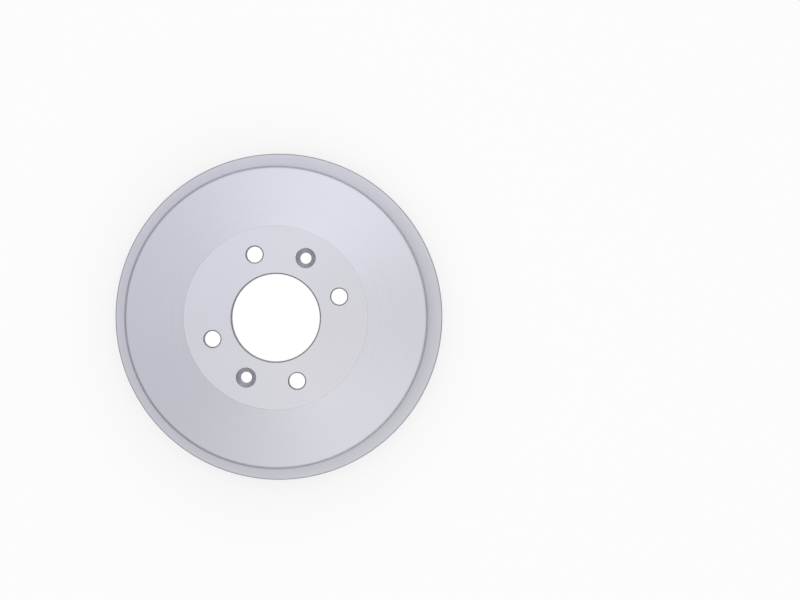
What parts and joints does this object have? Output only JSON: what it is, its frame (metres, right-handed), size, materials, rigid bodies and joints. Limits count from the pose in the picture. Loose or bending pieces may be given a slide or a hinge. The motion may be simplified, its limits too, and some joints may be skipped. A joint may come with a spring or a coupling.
{
  "type": "brake drum",
  "caption": "Round cast-iron brake drum with a flat wheel pad, pilot bore, wheel bolt holes, countersunk screw holes, a sloping web and a stiffening flange.",
  "frame": {"origin": "centre of the open rim's end face, which the drum stands on", "axes": "+Z along the drum's axis towards the wheel face, +X through a wheel bolt hole"},
  "size_m": [0.275, 0.275, 0.0675],
  "materials": {
    "coated_iron": "silver-grey zinc-flake coating over fine turning marks, satin"
  },
  "bodies": {
    "root": {"brake_drum": "coated_iron"}
  },
  "joints": []
}
